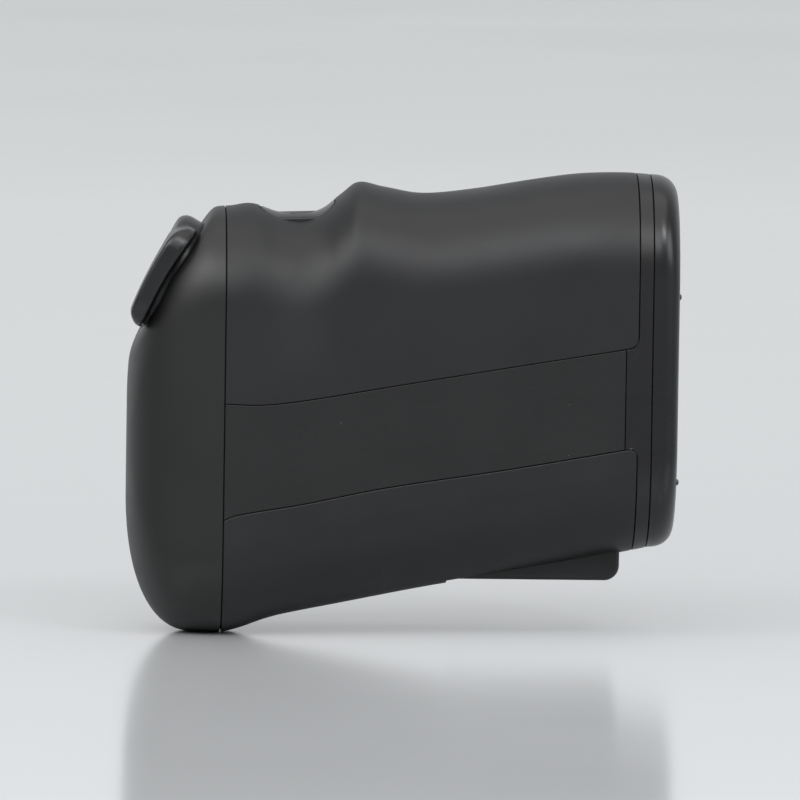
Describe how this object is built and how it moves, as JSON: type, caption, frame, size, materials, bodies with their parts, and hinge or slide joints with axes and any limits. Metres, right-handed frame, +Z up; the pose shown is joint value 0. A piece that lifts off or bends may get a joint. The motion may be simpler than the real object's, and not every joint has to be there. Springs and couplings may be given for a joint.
{
  "type": "laser rangefinder",
  "caption": "Pocket monocular laser rangefinder with rubber armour, slanted eyecup, top firing button, dioptre ring and a hinged battery door.",
  "frame": {"origin": "centre of the footprint, on the level of the lowest point of the rear bulge", "axes": "+X forward along the viewing axis, +Z up towards the firing button, -Y towards the user's right hand side"},
  "size_m": [0.098, 0.035, 0.0829],
  "materials": {
    "casing_plastic": "satin black moulding",
    "grip_rubber": "soft matte black rubber",
    "panel_plastic": "fine-grained dark grey",
    "cover_plastic": "smooth satin black",
    "bezel_plastic": "semi-gloss black",
    "eyecup_rubber": "matte black",
    "seal_rubber": "matte",
    "optical_glass": "coated",
    "dark_steel": "black oxide",
    "steel": "plain",
    "chassis_metal": "cast and machined",
    "tube_metal": "black anodised",
    "inner_plastic": "plain",
    "dioptre_plastic": "fine-ribbed",
    "detector_metal": "plated",
    "board_laminate": "green solder mask",
    "flex_film": "amber film",
    "cell_wrap": "plain wrap",
    "contact_metal": "nickel-plated",
    "spring_steel": "plain"
  },
  "bodies": {
    "housing": {"main_casing": "casing_plastic", "upper_grip": "grip_rubber", "lower_grip": "grip_rubber", "side_panel_right": "panel_plastic", "side_panel_left": "panel_plastic", "rear_cover": "cover_plastic", "rear_gasket": "seal_rubber", "front_bezel": "bezel_plastic", "front_gasket": "seal_rubber", "view_window": "optical_glass", "receiver_window": "optical_glass", "emitter_window": "optical_glass", "bezel_pins": "dark_steel", "cover_screws": "steel", "optical_chassis": "chassis_metal", "chassis_screws": "steel", "objective_barrel": "tube_metal", "objective_lens": "optical_glass", "objective_ring": "tube_metal", "prism_housing": "inner_plastic", "prism_front": "optical_glass", "prism_rear": "optical_glass", "reticle_display": "inner_plastic", "eyepiece_tube": "tube_metal", "eyecup": "eyecup_rubber", "receiver_barrel": "tube_metal", "receiver_lens": "optical_glass", "detector": "detector_metal", "detector_board": "board_laminate", "emitter_barrel": "tube_metal", "emitter_lens": "optical_glass", "laser_diode": "detector_metal", "main_board": "board_laminate", "power_board": "board_laminate", "board_screws": "steel", "flex_ribbon": "flex_film", "battery_cell": "cell_wrap", "battery_cradle": "inner_plastic", "contact_plus": "contact_metal", "contact_spring": "contact_metal", "door_pin": "steel", "latch_spring": "spring_steel", "button_spring": "spring_steel", "fire_switch": "inner_plastic", "button_bracket": "chassis_metal", "mode_spring": "spring_steel", "mode_switch": "inner_plastic", "lanyard_bar": "dark_steel"},
    "dioptre": {"dioptre_ring": "dioptre_plastic"},
    "ocular": {"ocular_carrier": "inner_plastic", "ocular_lens": "optical_glass", "field_lens": "optical_glass"},
    "door": {"battery_door": "casing_plastic", "door_seal": "seal_rubber"},
    "catch": {"door_latch": "inner_plastic"},
    "fire": {"fire_button": "eyecup_rubber"},
    "mode": {"mode_button": "eyecup_rubber"}
  },
  "joints": [
    {"name": "ocular_slide", "type": "slide", "parent": "housing", "child": "ocular", "axis": [1, 0, 0], "range_m": [-0.001, 0.001]},
    {"name": "dioptre_turn", "type": "hinge", "parent": "housing", "child": "dioptre", "pos_m": [-0.036, 0, 0.0626], "axis": [1, 0, 0], "range_deg": [-60, 60]},
    {"name": "door_hinge", "type": "hinge", "parent": "housing", "child": "door", "pos_m": [0.0111, 0.0034, 0.0121], "axis": [0, 1, 0], "range_deg": [0, 95]},
    {"name": "catch_slide", "type": "slide", "parent": "door", "child": "catch", "axis": [-1, 0, 0], "range_m": [0, 0.002], "stiffness_N_per_m": 250, "springref_m": -0.001, "deforming": ["latch_spring"]},
    {"name": "fire_press", "type": "slide", "parent": "housing", "child": "fire", "axis": [0, 0, -1], "range_m": [0, 0.0006], "stiffness_N_per_m": 900, "springref_m": -0.0004, "deforming": ["button_spring"]},
    {"name": "mode_press", "type": "slide", "parent": "housing", "child": "mode", "axis": [0, -1, 0], "range_m": [0, 0.0006], "stiffness_N_per_m": 900, "springref_m": -0.0004, "deforming": ["mode_spring"]}
  ],
  "couplings": [
    {"joint": "dioptre_turn", "follows": "ocular_slide", "rad_per_m": 1047}
  ]
}
